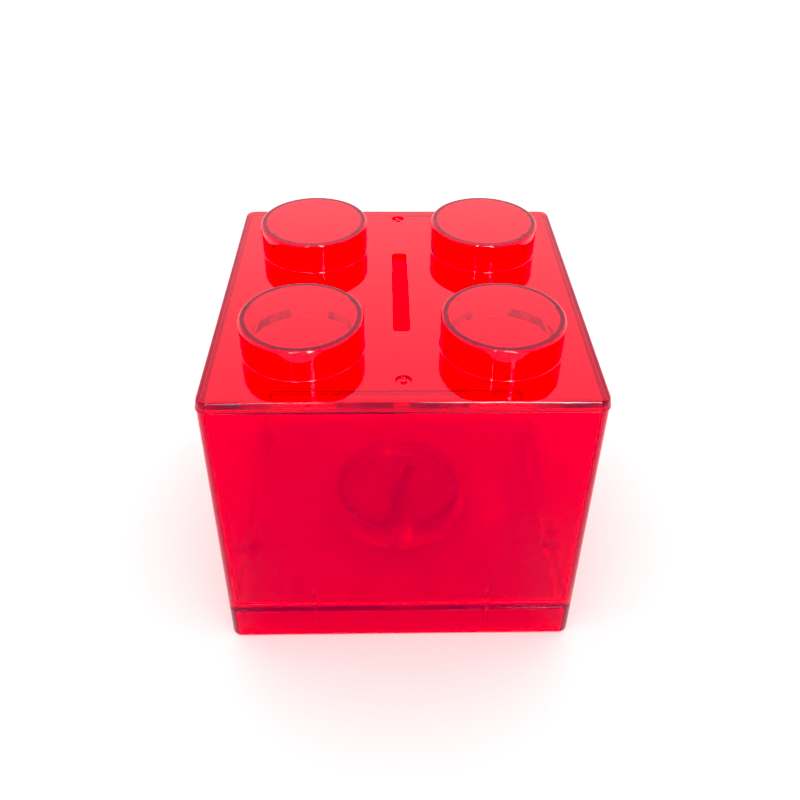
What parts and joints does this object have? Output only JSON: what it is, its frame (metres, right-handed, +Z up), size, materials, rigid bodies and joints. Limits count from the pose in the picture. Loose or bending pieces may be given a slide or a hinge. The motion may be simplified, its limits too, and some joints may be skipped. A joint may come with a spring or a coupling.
{
  "type": "donation box",
  "caption": "Free-standing clear red plastic collection box shaped like a studded building block, with a coin slot in its cover and a pull-out stopper in its floor.",
  "frame": {"origin": "centre of the face the box stands on", "axes": "+Z up through the studs, +Y to the rear along the coin slot, +X to the right as seen from the front"},
  "size_m": [0.1006, 0.1006, 0.0982],
  "materials": {
    "clear_red": "see-through dyed polystyrene, polished, with fine handling scratches",
    "stopper_red": "see-through dyed polyethylene, slightly softer gloss"
  },
  "bodies": {
    "box": {"cover": "clear_red", "walls": "clear_red", "base": "clear_red"},
    "stopper": {"stopper": "stopper_red"}
  },
  "joints": [
    {"name": "stopper_pull", "type": "slide", "parent": "box", "child": "stopper", "axis": [0, 0, -1], "range_m": [0, 0.03]}
  ]
}
